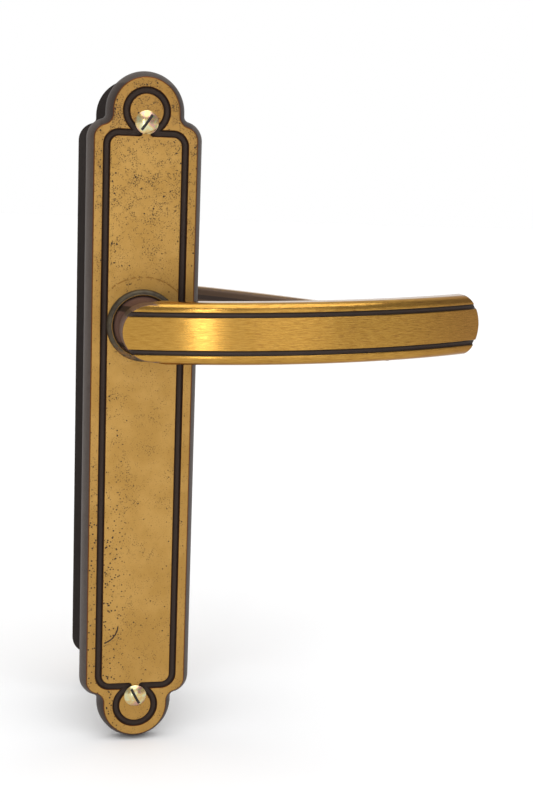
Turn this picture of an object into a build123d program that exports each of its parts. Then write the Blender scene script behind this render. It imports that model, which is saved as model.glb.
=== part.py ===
"""Door lever handle set: two long backplates with bowed levers on a shared square spindle.

Frame: millimetres, +Z up, +X towards the lever tips, +Y through the door towards the rear side.
The origin lies on the spindle axis, where it meets the front plate's mounting face.
The front side is built towards -Y, on Plane.XZ, whose local axes are X and Z and whose
height runs out from the door. The rear side is its mirror image in the middle of the door.
"""

import math
import os

from build123d import *

# Door and fixing centres
DOOR_THICKNESS = 40.0
SCREW_SPACING = 195.0
SCREW_ABOVE_SPINDLE = 66.0

# Backplate
FACE_WIDTH = 33.2
PLATE_THICKNESS = 6.6
EDGE_LAND = 1.2
SIDE_SLOPE = 2.35
ARCH_RADIUS = 10.55
ARCH_PAST_SCREW = 3.6
SHOULDER_SWEEP = 75.0
ARCH_NECK = 1.1
WALL = 2.5
SCREW_BOSS_RADIUS = 5.0

# Groove that outlines the panel and loops round each screw
RIM_WIDTH = 2.6
GROOVE_WIDTH = 2.4
GROOVE_DEPTH = 1.2
PANEL_HALF_HEIGHT = 92.9
PANEL_CORNER = 2.8
LOOP_DISC_RADIUS = 5.4
BRIDGE_WIDTH = 2.5
BRIDGE_FILLET = 1.1

# Collar that the lever's journal turns in
COLLAR_RADIUS = 12.0
COLLAR_RING_INNER = 10.1
COLLAR_RING_HEIGHT = 2.2
COLLAR_FLOOR = 0.6
COLLAR_SLEEVE_RADIUS = 9.0
COLLAR_SLEEVE_END = 3.6
COLLAR_FIT = 0.05
COLLAR_RING_LAND = 0.2

# Lever: journal, neck and grip
JOURNAL_RADIUS = 7.5
JOURNAL_END = 0.5
RUNNING_FIT = 0.05
NECK_BASE_RADIUS = 9.8
NECK_BASE_LAND = 1.0
NECK_WAIST_RADIUS = 7.9
NECK_WAIST_HEIGHT = 13.5
NECK_FLARE_HEIGHT = 18.5
NECK_TOP_RADIUS = 8.4
# inside the grip's thickness all the way round, although the bow slants across it
NECK_TOP_HEIGHT = 26.2
GRIP_HEIGHT = 19.8
GRIP_THICKNESS = 8.5
GRIP_FRONT_ROUND = 2.4
GRIP_BACK_ROUND = 1.8
BOW_RADIUS = 128.0
BOW_APEX_X = 48.0
BOW_APEX_PROJECTION = 33.2
GRIP_END_CENTRE_X = 0.4
GRIP_END_RADIUS = 9.1
GRIP_FULL_HEIGHT_X = 5.0
TIP_X = 111.2
TIP_BULGE = 7.1
TIP_CORNER = 5.0
GRIP_GROOVE_OFFSET = 6.0
GRIP_GROOVE_WIDTH = 1.6
GRIP_GROOVE_DEPTH = 1.0

# Spindle and the play that it leaves in the sockets
SPINDLE_SIZE = 7.0
SPINDLE_LENGTH = 74.0
SPINDLE_CHAMFER = 0.6
SOCKET_SIZE = 7.6
SOCKET_END = 19.0
FRONT_LEVER_ANGLE = -2.0
REAR_LEVER_ANGLE = 5.5
SPINDLE_ANGLE = (FRONT_LEVER_ANGLE + REAR_LEVER_ANGLE) / 2

# Retaining stack behind the plate, from the collar towards the door
WASHER_THICKNESS = 0.5
WASHER_RADIUS = 10.0
WASHER_BORE = 7.65
SPRING_WASHER_RADIUS = 9.7
SPRING_WASHER_BORE = 7.8
SPRING_WASHER_THICKNESS = 0.3
SPRING_WASHER_RISE = 0.3
CIRCLIP_THICKNESS = 0.9
CIRCLIP_GROOVE_RADIUS = 7.0
CIRCLIP_RADIUS = 8.6
CIRCLIP_GAP = 50.0
CIRCLIP_EAR_RADIUS = 1.5
CIRCLIP_EAR_HOLE = 0.6
STACK_GAP = 0.05

# Through screws and their sleeve nuts
SCREW_RADIUS = 2.0
SCREW_HOLE_RADIUS = 2.15
HEAD_RADIUS = 3.8
HEAD_HEIGHT = 1.9
HEAD_EDGE = 0.5
SLOT_WIDTH = 0.9
SLOT_DEPTH = 1.0
UPPER_SLOT_ANGLE = 55.0
LOWER_SLOT_ANGLE = -62.0
SCREW_TIP_Y = 22.0
SLEEVE_RADIUS = 2.9
SLEEVE_SHOULDER_RADIUS = 3.3
SLEEVE_HOLE_RADIUS = 3.4
SLEEVE_BORE_RADIUS = 2.05
SLEEVE_MOUTH_Y = 12.0
SLEEVE_BORE_END_Y = 24.5

# How far a cutting shape stands past what it cuts
CUT_MARGIN = 0.8

# Derived places
HALF_SPACING = SCREW_SPACING / 2
PLATE_MID_Z = SCREW_ABOVE_SPINDLE - HALF_SPACING
ARCH_CENTRE = HALF_SPACING + ARCH_PAST_SCREW
CAVITY_DEPTH = PLATE_THICKNESS - WALL
BOW_CENTRE_Y = BOW_RADIUS - BOW_APEX_PROJECTION - PLATE_THICKNESS
NECK_BASE_HEIGHT = PLATE_THICKNESS + COLLAR_FLOOR + STACK_GAP
WASHER_TOP = COLLAR_SLEEVE_END - STACK_GAP
SPRING_WASHER_TOP = WASHER_TOP - WASHER_THICKNESS - STACK_GAP
CIRCLIP_TOP = SPRING_WASHER_TOP - SPRING_WASHER_THICKNESS - SPRING_WASHER_RISE - STACK_GAP

DOOR_MIDDLE = Plane.XZ.offset(-DOOR_THICKNESS / 2)
PLATE_BACK = Plane(origin=(0, 0, PLATE_MID_Z), x_dir=(1, 0, 0), z_dir=(0, -1, 0))


def out_from_door(height):
    """The plane parallel to the door, centred on the spindle axis, at a height off its front."""
    return Plane.XZ.offset(height)


def plate_outline(grow):
    """The face's outline, grown outwards by an amount, as a closed wire in plate coordinates."""
    half_width = FACE_WIDTH / 2 + grow
    arch_radius = ARCH_RADIUS + grow
    # both shoulder arcs have this radius on the face itself, so together they span its step
    step = FACE_WIDTH / 2 - ARCH_RADIUS
    sweep = math.radians(SHOULDER_SWEEP)
    shoulder_radius = step / 2 / (1 - math.cos(sweep))
    shoulder_start = ARCH_CENTRE - ARCH_NECK - 2 * shoulder_radius * math.sin(sweep)
    with BuildLine() as outline:
        side = Line((half_width, 0), (half_width, shoulder_start))
        convex = JernArc(side @ 1, side % 1, shoulder_radius + grow, SHOULDER_SWEEP)
        concave = JernArc(convex @ 1, convex % 1, shoulder_radius - grow, -SHOULDER_SWEEP)
        neck = Line(concave @ 1, (arch_radius, ARCH_CENTRE))
        JernArc(neck @ 1, neck % 1, arch_radius, 90)
        mirror(about=Plane.YZ)
        mirror(about=Plane.XZ)
    return outline.line


def screw_places():
    """The two screw centres in plate coordinates."""
    return [(0, HALF_SPACING), (0, -HALF_SPACING)]


def make_plate(hole_radius):
    """A hollow-backed plate with a raised panel, built on the front side."""
    with BuildSketch() as island:
        RectangleRounded(FACE_WIDTH - 2 * (RIM_WIDTH + GROOVE_WIDTH), 2 * PANEL_HALF_HEIGHT, PANEL_CORNER)
        with Locations((0, ARCH_CENTRE), (0, -ARCH_CENTRE)):
            Circle(LOOP_DISC_RADIUS)
        Rectangle(BRIDGE_WIDTH, 2 * ARCH_CENTRE)
        bridge_corners = island.vertices().filter_by(lambda v: abs(abs(v.X) - BRIDGE_WIDTH / 2) < 0.01)
        fillet(bridge_corners, radius=BRIDGE_FILLET)
    with BuildPart() as plate:
        with BuildSketch(PLATE_BACK):
            add(make_face(plate_outline(SIDE_SLOPE), mode=Mode.PRIVATE))
        extrude(amount=EDGE_LAND)
        slope_height = PLATE_THICKNESS - EDGE_LAND
        with BuildSketch(PLATE_BACK.offset(EDGE_LAND)):
            add(make_face(plate_outline(SIDE_SLOPE), mode=Mode.PRIVATE))
        extrude(amount=slope_height, taper=math.degrees(math.atan2(SIDE_SLOPE, slope_height)))
        with BuildSketch(PLATE_BACK):
            add(make_face(plate_outline(-WALL), mode=Mode.PRIVATE))
            with Locations(*screw_places()):
                Circle(SCREW_BOSS_RADIUS, mode=Mode.SUBTRACT)
        extrude(amount=CAVITY_DEPTH, mode=Mode.SUBTRACT)
        with BuildSketch(PLATE_BACK.offset(PLATE_THICKNESS)):
            RectangleRounded(
                FACE_WIDTH - 2 * RIM_WIDTH,
                2 * (PANEL_HALF_HEIGHT + GROOVE_WIDTH),
                PANEL_CORNER + GROOVE_WIDTH,
            )
            with Locations((0, ARCH_CENTRE), (0, -ARCH_CENTRE)):
                Circle(LOOP_DISC_RADIUS + GROOVE_WIDTH)
            add(island.sketch, mode=Mode.SUBTRACT)
        extrude(amount=-GROOVE_DEPTH, mode=Mode.SUBTRACT)
        with BuildSketch(PLATE_BACK):
            with Locations(*screw_places()):
                Circle(hole_radius)
        extrude(amount=PLATE_THICKNESS, mode=Mode.SUBTRACT)
        with BuildSketch(out_from_door(0)):
            Circle(COLLAR_SLEEVE_RADIUS + COLLAR_FIT)
        extrude(amount=PLATE_THICKNESS, mode=Mode.SUBTRACT)
    return plate


def make_collar():
    """A flanged bush: its sleeve guides the journal and its raised ring surrounds the neck."""
    with BuildPart() as collar:
        with BuildSketch(out_from_door(COLLAR_SLEEVE_END)):
            Circle(COLLAR_SLEEVE_RADIUS)
        extrude(amount=PLATE_THICKNESS + COLLAR_FLOOR - COLLAR_SLEEVE_END)
        with BuildSketch(out_from_door(PLATE_THICKNESS)):
            Circle(COLLAR_RADIUS)
        extrude(amount=COLLAR_RING_HEIGHT)
        with BuildSketch(out_from_door(PLATE_THICKNESS + COLLAR_FLOOR)):
            Circle(COLLAR_RING_INNER)
        extrude(amount=COLLAR_RING_HEIGHT - COLLAR_FLOOR, mode=Mode.SUBTRACT)
        ring_rims = collar.faces().sort_by(Axis.Y)[0].edges()
        fillet(ring_rims, radius=(COLLAR_RADIUS - COLLAR_RING_INNER - COLLAR_RING_LAND) / 2)
        with BuildSketch(out_from_door(COLLAR_SLEEVE_END)):
            Circle(JOURNAL_RADIUS + RUNNING_FIT)
        extrude(amount=PLATE_THICKNESS, mode=Mode.SUBTRACT)
    return collar


def grip_section():
    """The grip's cross-section, with its front on the bow's radius, as (distance from bow centre, Z)."""
    with BuildSketch() as section:
        with Locations((BOW_RADIUS - GRIP_THICKNESS / 2, 0)):
            Rectangle(GRIP_THICKNESS, GRIP_HEIGHT)
        fillet(section.vertices().group_by(Axis.X)[-1], radius=GRIP_FRONT_ROUND)
        fillet(section.vertices().group_by(Axis.X)[0], radius=GRIP_BACK_ROUND)
        with Locations((BOW_RADIUS, GRIP_GROOVE_OFFSET), (BOW_RADIUS, -GRIP_GROOVE_OFFSET)):
            Rectangle(2 * GRIP_GROOVE_DEPTH, GRIP_GROOVE_WIDTH, mode=Mode.SUBTRACT)
    return section.sketch


def grip_front_view():
    """The grip seen from the front: a round end over the neck, widening to the bar, and a bulged tip.

    The bar stands a little taller than the grip, so that its corners cross the grip's edges cleanly.
    """
    half = GRIP_HEIGHT / 2 + CUT_MARGIN
    corner_x = TIP_X - TIP_BULGE
    taper = (GRIP_FULL_HEIGHT_X - GRIP_END_CENTRE_X) / (GRIP_HEIGHT / 2 - GRIP_END_RADIUS)
    taper_x = GRIP_END_CENTRE_X + (half - GRIP_END_RADIUS) * taper
    end_low = (GRIP_END_CENTRE_X, -GRIP_END_RADIUS)
    end_high = (GRIP_END_CENTRE_X, GRIP_END_RADIUS)
    with BuildSketch() as view:
        with BuildLine():
            lower = Polyline(end_low, (taper_x, -half), (corner_x, -half))
            tip = ThreePointArc(lower @ 1, (TIP_X, 0), (corner_x, half))
            Polyline(tip @ 1, (taper_x, half), end_high, end_low)
        make_face()
        fillet(view.vertices().group_by(Axis.X)[-1], radius=TIP_CORNER)
        with Locations((GRIP_END_CENTRE_X, 0)):
            Circle(GRIP_END_RADIUS)
    return view.sketch


def make_lever():
    """A level lever on the front side: journal, waisted neck and bowed grip in one casting."""
    bow_axis = Axis((BOW_APEX_X, BOW_CENTRE_Y, 0), (0, 0, -1))
    bow_plane = Plane(origin=bow_axis.position, x_dir=(0, -1, 0), z_dir=(1, 0, 0))
    with BuildPart() as grip:
        with BuildSketch(bow_plane):
            add(grip_section())
        revolve(axis=bow_axis, revolution_arc=360)
        with BuildSketch(out_from_door(0)):
            add(grip_front_view())
        extrude(amount=PLATE_THICKNESS + BOW_APEX_PROJECTION + CUT_MARGIN, mode=Mode.INTERSECT)
    with BuildPart() as lever:
        with BuildSketch(Plane.XY):
            with BuildLine():
                base = Polyline(
                    (0, -JOURNAL_END),
                    (JOURNAL_RADIUS, -JOURNAL_END),
                    (JOURNAL_RADIUS, -NECK_BASE_HEIGHT),
                    (NECK_BASE_RADIUS, -NECK_BASE_HEIGHT),
                    (NECK_BASE_RADIUS, -NECK_BASE_HEIGHT - NECK_BASE_LAND),
                )
                waist = ThreePointArc(
                    base @ 1, (NECK_WAIST_RADIUS, -NECK_WAIST_HEIGHT), (NECK_TOP_RADIUS, -NECK_FLARE_HEIGHT)
                )
                Polyline(waist @ 1, (NECK_TOP_RADIUS, -NECK_TOP_HEIGHT), (0, -NECK_TOP_HEIGHT), base @ 0)
            make_face()
        revolve(axis=Axis.Y)
        add(grip.part)
        with BuildSketch(out_from_door(0)):
            Rectangle(SOCKET_SIZE, SOCKET_SIZE)
        extrude(amount=SOCKET_END, mode=Mode.SUBTRACT)
        with BuildSketch(out_from_door(CIRCLIP_TOP + STACK_GAP / 2)):
            Circle(JOURNAL_RADIUS)
            Circle(CIRCLIP_GROOVE_RADIUS, mode=Mode.SUBTRACT)
        extrude(amount=-(CIRCLIP_THICKNESS + STACK_GAP), mode=Mode.SUBTRACT)
    return lever


def make_washer():
    """A flat ring between the collar's sleeve and the spring washer."""
    with BuildPart() as washer:
        with BuildSketch(out_from_door(WASHER_TOP)):
            Circle(WASHER_RADIUS)
            Circle(WASHER_BORE, mode=Mode.SUBTRACT)
        extrude(amount=-WASHER_THICKNESS)
    return washer


def make_spring_washer():
    """A ring of spring strip curved one way, whose bow keeps the lever from rattling."""
    half = SPRING_WASHER_RADIUS + CUT_MARGIN
    # the strip's arc rises by the spring washer's rise across its diameter
    arc_radius = (SPRING_WASHER_RADIUS**2 + SPRING_WASHER_RISE**2) / (2 * SPRING_WASHER_RISE)
    centre_y = arc_radius - SPRING_WASHER_TOP
    with BuildPart() as spring_washer:
        with BuildSketch(out_from_door(0)):
            Circle(SPRING_WASHER_RADIUS)
            Circle(SPRING_WASHER_BORE, mode=Mode.SUBTRACT)
        extrude(amount=PLATE_THICKNESS)
        with BuildSketch(Plane.XY.offset(-half)):
            with Locations((0, centre_y)):
                Circle(arc_radius)
                Circle(arc_radius - SPRING_WASHER_THICKNESS, mode=Mode.SUBTRACT)
        extrude(amount=2 * half, mode=Mode.INTERSECT)
    return spring_washer


def make_circlip():
    """An external retaining ring with a gap at the top and a pierced ear each side of it."""
    ear_angles = (90 - CIRCLIP_GAP / 2, 90 + CIRCLIP_GAP / 2)
    ears = [Vector(CIRCLIP_RADIUS, 0).rotate(Axis.Z, angle) for angle in ear_angles]
    gap_corners = [Vector(2 * CIRCLIP_RADIUS, 0).rotate(Axis.Z, angle) for angle in ear_angles]
    with BuildPart() as circlip:
        with BuildSketch(out_from_door(CIRCLIP_TOP)):
            Circle(CIRCLIP_RADIUS)
            with BuildLine():
                Polyline((0, 0), *gap_corners, close=True)
            make_face(mode=Mode.SUBTRACT)
            with Locations(*ears):
                Circle(CIRCLIP_EAR_RADIUS)
            Circle(CIRCLIP_GROOVE_RADIUS + STACK_GAP, mode=Mode.SUBTRACT)
            with Locations(*ears):
                Circle(CIRCLIP_EAR_HOLE, mode=Mode.SUBTRACT)
        extrude(amount=-CIRCLIP_THICKNESS)
    return circlip


def make_fastener(shank_radius, shank_end, slot_angle):
    """A slotted domed head on the plate's face with a plain shank, centred on the spindle axis."""
    dome_rise = HEAD_HEIGHT - HEAD_EDGE
    dome_radius = (HEAD_RADIUS**2 + dome_rise**2) / (2 * dome_rise)
    head_top = PLATE_THICKNESS + HEAD_HEIGHT
    with BuildPart() as fastener:
        with BuildSketch(out_from_door(PLATE_THICKNESS)):
            Circle(HEAD_RADIUS)
        extrude(amount=HEAD_HEIGHT)
        with Locations((0, dome_radius - head_top, 0)):
            Sphere(dome_radius, mode=Mode.INTERSECT)
        with BuildSketch(out_from_door(head_top)):
            Rectangle(2 * (HEAD_RADIUS + CUT_MARGIN), SLOT_WIDTH, rotation=slot_angle)
        extrude(amount=-SLOT_DEPTH, mode=Mode.SUBTRACT)
        with BuildSketch(out_from_door(PLATE_THICKNESS)):
            Circle(shank_radius)
        extrude(amount=-(PLATE_THICKNESS + shank_end))
    return fastener


def make_sleeve_nut(slot_angle):
    """A sleeve nut on the front side: shouldered in the plate, with a blind bore from its mouth."""
    mouth = DOOR_THICKNESS - SLEEVE_MOUTH_Y
    bore_end = DOOR_THICKNESS - SLEEVE_BORE_END_Y
    blank = make_fastener(SLEEVE_RADIUS, mouth, slot_angle)
    with BuildPart() as nut:
        add(blank.part)
        with BuildSketch(out_from_door(0)):
            Circle(SLEEVE_SHOULDER_RADIUS)
        extrude(amount=PLATE_THICKNESS)
        with BuildSketch(out_from_door(-mouth)):
            Circle(SLEEVE_BORE_RADIUS)
        extrude(amount=mouth - bore_end, mode=Mode.SUBTRACT)
    return nut


def make_spindle():
    """The square bar through the door, which ends inside both levers' sockets."""
    with BuildPart() as spindle:
        with BuildSketch(out_from_door(SPINDLE_LENGTH / 2 - DOOR_THICKNESS / 2)):
            Rectangle(SPINDLE_SIZE, SPINDLE_SIZE)
        extrude(amount=-SPINDLE_LENGTH)
        ends = spindle.faces().filter_by(Axis.Y)
        chamfer(ends.edges(), length=SPINDLE_CHAMFER)
    return spindle


def place(source, name, angle=0.0, height=0.0, rear=False):
    """Turn a front-side piece about the spindle, set its height, mirror it for the rear, and save it."""
    with BuildPart() as piece:
        if rear:
            add(mirror(source.part, about=DOOR_MIDDLE, mode=Mode.PRIVATE))
        else:
            add(source.part)
    piece.part = piece.part.rotate(Axis.Y, angle).moved(Location((0, 0, height)))
    piece.part.label = name
    export_step(piece.part, f"parts/{name}.step")
    return piece


os.makedirs("parts", exist_ok=True)

lever = make_lever()
collar = make_collar()
washer = make_washer()
spring_washer = make_spring_washer()
circlip = make_circlip()

front_plate = place(make_plate(SCREW_HOLE_RADIUS), "front_plate")
rear_plate = place(make_plate(SLEEVE_HOLE_RADIUS), "rear_plate", rear=True)

for side, angle, rear in (("front", FRONT_LEVER_ANGLE, False), ("rear", REAR_LEVER_ANGLE, True)):
    place(collar, f"{side}_collar", rear=rear)
    place(lever, f"{side}_lever", angle, rear=rear)
    place(washer, f"{side}_washer", angle, rear=rear)
    place(spring_washer, f"{side}_spring_washer", angle, rear=rear)
    place(circlip, f"{side}_circlip", angle, rear=rear)

spindle = place(make_spindle(), "spindle", SPINDLE_ANGLE)

for level, slot_angle, height in (
    ("upper", UPPER_SLOT_ANGLE, SCREW_ABOVE_SPINDLE),
    ("lower", LOWER_SLOT_ANGLE, SCREW_ABOVE_SPINDLE - SCREW_SPACING),
):
    place(make_fastener(SCREW_RADIUS, SCREW_TIP_Y, slot_angle), f"{level}_screw", height=height)
    place(make_sleeve_nut(slot_angle), f"{level}_sleeve_nut", height=height, rear=True)
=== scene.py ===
# %% [markdown]
# # An aged brass lever handle set
# This file builds the looks of a pair of door handles around a imported CAD model. The set has two
# long backplates with stepped, round-topped ends, a collar and a bowed lever on each, and two
# through screws. The CAD model already says where everything is and how the levers turn, so this
# file only makes the surfaces, the finishes, the light and the camera.
#
# The frame is loaded first, because every piece takes its place from it. Its box is measured and
# printed.

# %% Load the frame
import math

import bmesh
import bpy
from mathutils import Matrix, Vector


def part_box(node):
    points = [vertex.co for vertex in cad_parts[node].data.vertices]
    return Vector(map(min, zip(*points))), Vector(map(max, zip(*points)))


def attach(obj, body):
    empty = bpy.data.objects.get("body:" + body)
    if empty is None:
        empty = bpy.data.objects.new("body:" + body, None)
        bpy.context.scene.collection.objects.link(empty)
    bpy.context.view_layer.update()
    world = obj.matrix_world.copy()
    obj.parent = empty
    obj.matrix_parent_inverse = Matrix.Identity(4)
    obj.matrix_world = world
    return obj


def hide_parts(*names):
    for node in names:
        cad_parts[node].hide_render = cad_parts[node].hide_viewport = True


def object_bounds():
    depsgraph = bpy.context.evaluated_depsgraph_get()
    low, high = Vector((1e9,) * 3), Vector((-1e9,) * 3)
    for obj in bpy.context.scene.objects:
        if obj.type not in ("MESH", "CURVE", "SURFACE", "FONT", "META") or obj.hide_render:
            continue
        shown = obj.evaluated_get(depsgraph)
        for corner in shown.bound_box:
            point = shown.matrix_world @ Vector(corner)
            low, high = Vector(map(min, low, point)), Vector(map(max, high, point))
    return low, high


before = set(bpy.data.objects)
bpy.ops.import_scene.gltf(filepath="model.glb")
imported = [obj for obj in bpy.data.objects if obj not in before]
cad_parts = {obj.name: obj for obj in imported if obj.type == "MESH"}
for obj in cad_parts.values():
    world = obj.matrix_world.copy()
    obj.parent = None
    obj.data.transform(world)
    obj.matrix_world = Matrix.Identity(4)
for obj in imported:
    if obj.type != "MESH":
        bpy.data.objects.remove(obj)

MM = 0.001
MERGE = 0.002
cad_low, cad_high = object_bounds()
print("CAD box in mm:", [round(v / MM, 1) for v in (*cad_low, *cad_high)])

# %% [markdown]
# ## Places that the frame gives
# The spindle axis runs through the origin along Y. The front plate stands on the door's front face
# at y = 0 and grows towards -Y; the rear plate is its mirror image behind the door. Screws and
# plates are measured here, so that the new surfaces land on the designed ones.

# %% Measure the frame
plate_low, plate_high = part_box("front_plate")
rear_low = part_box("rear_plate")[0]
upper_low, upper_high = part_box("upper_screw")
lower_low, lower_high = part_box("lower_screw")
DOOR = rear_low.y / MM
PLATE_TOP = -plate_low.y / MM
PLATE_MID_Z = (plate_low.z + plate_high.z) / 2 / MM
UPPER_SCREW_Z = (upper_low.z + upper_high.z) / 2 / MM
LOWER_SCREW_Z = (lower_low.z + lower_high.z) / 2 / MM
HALF_SPACING = (UPPER_SCREW_Z - LOWER_SCREW_Z) / 2
print("door", round(DOOR, 2), "plate thickness", round(PLATE_TOP, 2))
print("screws at", round(UPPER_SCREW_Z, 2), "and", round(LOWER_SCREW_Z, 2))

# %% [markdown]
# ## A pen made of edit-mode operators
# Outlines are drawn the way a hand would draw them in edit mode. A plane is merged to one point,
# the point is extruded to make straight runs, and it is spun to make arcs. The pen remembers where
# it is, so each arc can be given by its centre. Small parts are easier on the tools when one unit
# is one millimetre, so every piece is modelled that way and scaled down to metres when it is done.

# %% The pen
class Pen:
    """Draws one line on a plane: straight runs are extruded and arcs are spun."""

    def __init__(self, name, start, across=(1, 0, 0), up=(0, 0, 1), origin=(0, 0, 0)):
        self.across, self.up, self.origin = Vector(across), Vector(up), Vector(origin)
        self.at = Vector(start)
        bpy.ops.object.select_all(action="DESELECT")
        bpy.ops.mesh.primitive_plane_add(size=1)
        self.drawing = bpy.context.object
        self.drawing.name = name
        bpy.ops.object.mode_set(mode="EDIT")
        bpy.ops.mesh.merge(type="CENTER")
        bpy.ops.transform.translate(value=self.point(start))

    def point(self, place):
        """A place on the plane, in the frame's directions."""
        return self.origin + self.across * place[0] + self.up * place[1]

    def line_to(self, *place):
        step = self.point(place) - self.point(self.at)
        bpy.ops.mesh.extrude_region_move(TRANSFORM_OT_translate={"value": step})
        self.at = Vector(place)

    def arc(self, centre, degrees, steps):
        """Turns about a centre, counter-clockwise for positive degrees."""
        angle = math.radians(degrees)
        bpy.ops.mesh.spin(
            steps=steps, angle=angle, center=self.point(centre), axis=self.up.cross(self.across)
        )
        self.at = Vector(centre) + Matrix.Rotation(angle, 2) @ (self.at - Vector(centre))

    def close(self):
        """Joins the last point to the first and leaves edit mode."""
        bpy.ops.mesh.select_all(action="SELECT")
        bpy.ops.mesh.remove_doubles(threshold=MERGE)
        bpy.ops.object.mode_set(mode="OBJECT")
        return self.drawing


# %% Small helpers for editing
def edit(piece, select="NOTHING"):
    """Makes a piece the only selected one and opens it for editing."""
    bpy.ops.object.select_all(action="DESELECT")
    piece.select_set(True)
    bpy.context.view_layer.objects.active = piece
    bpy.ops.object.mode_set(mode="EDIT")
    bpy.ops.mesh.select_mode(type="VERT")
    bpy.ops.mesh.select_all(action="SELECT" if select == "ALL" else "DESELECT")


def leave():
    bpy.ops.object.mode_set(mode="OBJECT")


def apply_modifier(piece, kind, **settings):
    """Adds one modifier with its settings and applies it."""
    bpy.ops.object.select_all(action="DESELECT")
    piece.select_set(True)
    bpy.context.view_layer.objects.active = piece
    bpy.ops.object.modifier_add(type=kind)
    modifier = piece.modifiers[-1]
    for name, value in settings.items():
        setattr(modifier, name, value)
    bpy.ops.object.modifier_apply(modifier=modifier.name)
    return piece


def cut(piece, tool, operation="DIFFERENCE", keep_tool=False):
    """Combines a piece with a tool solid, which is then thrown away."""
    apply_modifier(piece, "BOOLEAN", operation=operation, object=tool, solver="EXACT")
    if not keep_tool:
        bpy.data.objects.remove(tool)
    return piece


def duplicate(piece, name):
    """A copy with its own mesh."""
    bpy.ops.object.select_all(action="DESELECT")
    piece.select_set(True)
    bpy.context.view_layer.objects.active = piece
    bpy.ops.object.duplicate()
    copy = bpy.context.object
    copy.name = name
    return copy


def move(piece, x=0.0, y=0.0, z=0.0):
    """Moves a piece and puts the move into its mesh."""
    piece.location = (x, y, z)
    return settle(piece)


def settle(piece):
    """Puts a piece's place, turn and scale into its mesh, so that its object sits at the origin."""
    bpy.ops.object.select_all(action="DESELECT")
    piece.select_set(True)
    bpy.context.view_layer.objects.active = piece
    bpy.ops.object.transform_apply(location=True, rotation=True, scale=True)
    return piece


def face_outwards(piece):
    """Merges doubles and turns every face outwards."""
    edit(piece, "ALL")
    bpy.ops.mesh.remove_doubles(threshold=MERGE)
    bpy.ops.mesh.normals_make_consistent(inside=False)
    leave()


def smooth(piece, degrees=32):
    """Smooth shading that keeps edges sharper than an angle."""
    bpy.ops.object.select_all(action="DESELECT")
    piece.select_set(True)
    bpy.context.view_layer.objects.active = piece
    bpy.ops.object.shade_smooth_by_angle(angle=math.radians(degrees))


def describe(piece):
    """Prints how many faces a piece has, and its open or crossed edges, which should be none."""
    mesh = bmesh.new()
    mesh.from_mesh(piece.data)
    loose = sum(not e.is_manifold for e in mesh.edges)
    triangles = sum(len(f.verts) - 2 for f in mesh.faces)
    volume = mesh.calc_volume(signed=True)
    mesh.free()
    print(f"{piece.name}: {triangles} triangles, {loose} loose edges, {volume:.0f} cubic mm")


# %% [markdown]
# ## The backplate's outline
# A real plate of this kind is pressed or cast with an outline of one long side, a shoulder that
# sweeps out and in again like a wave, and a half-round arch. It could be traced as a curve. It is
# drawn here as one quarter with the pen and mirrored twice, because the plate is the same in all
# four quarters. One function draws it at any distance outside or inside the face's edge.

# %% Draw a quarter and mirror it
FACE_HALF_WIDTH = 16.6
SIDE_SLOPE = 2.35
EDGE_LAND = 1.2
ARCH_RADIUS = 10.55
ARCH_CENTRE = HALF_SPACING + 3.6
ARCH_NECK = 1.1
SHOULDER_SWEEP = 75.0
SHOULDER_RADIUS = (FACE_HALF_WIDTH - ARCH_RADIUS) / 2 / (1 - math.cos(math.radians(SHOULDER_SWEEP)))


def mirror_quarter(drawing):
    """Completes a quarter outline on X and Z into a closed one."""
    return apply_modifier(drawing, "MIRROR", use_axis=(True, False, True), merge_threshold=5 * MERGE)


def plate_outline(name, grow, height):
    """The plate's outline, grown outwards, at a height off the door."""
    rise = SHOULDER_RADIUS * math.sin(math.radians(SHOULDER_SWEEP))
    reach = SHOULDER_RADIUS * math.cos(math.radians(SHOULDER_SWEEP))
    start_z = ARCH_CENTRE - ARCH_NECK - 2 * rise
    convex_x = FACE_HALF_WIDTH - SHOULDER_RADIUS
    pen = Pen(name, (FACE_HALF_WIDTH + grow, 0), origin=(0, -height, 0))
    pen.line_to(FACE_HALF_WIDTH + grow, start_z)
    pen.arc((convex_x, start_z), SHOULDER_SWEEP, 12)
    pen.arc((convex_x + 2 * reach, start_z + 2 * rise), -SHOULDER_SWEEP, 12)
    pen.line_to(ARCH_RADIUS + grow, ARCH_CENTRE)
    pen.arc((0, ARCH_CENTRE), 90, 28)
    return mirror_quarter(pen.close())


# %% [markdown]
# ## Turning an outline into a raised or sunk shape
# A closed outline becomes a face, and the inset operator then walks it inwards ring by ring. Each
# ring says how far it goes in and how far it rises, so one short list is the whole cross-section:
# slopes, rounded edges and all. A ring that goes in without rising keeps the flat beside it flat.

# %% Walk rings inwards from an outline
def fill_outline(drawing):
    """Fills a closed outline with one face that looks away from the door."""
    edit(drawing, "ALL")
    bpy.ops.mesh.edge_face_add()
    if bmesh.from_edit_mesh(drawing.data).faces[:][0].normal.y > 0:
        bpy.ops.mesh.flip_normals()


def walk_in(rings):
    """Insets the selected face once for each ring of (inwards, rise)."""
    for inwards, rise in rings:
        bpy.ops.mesh.inset(thickness=inwards, depth=rise, use_even_offset=True)


def select_open_edges(piece, height):
    """Selects a piece's open edges at a height off the door."""
    mesh = bmesh.from_edit_mesh(piece.data)
    for edge in mesh.edges:
        if edge.is_boundary and all(abs(v.co.y + height) < MERGE for v in edge.verts):
            edge.select_set(True)
    mesh.select_flush(True)
    bmesh.update_edit_mesh(piece.data)


def join(pieces, name):
    """Joins pieces into the first one."""
    bpy.ops.object.select_all(action="DESELECT")
    for piece in pieces:
        piece.select_set(True)
    bpy.context.view_layer.objects.active = pieces[0]
    bpy.ops.object.join()
    pieces[0].name = name
    return pieces[0]


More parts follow.
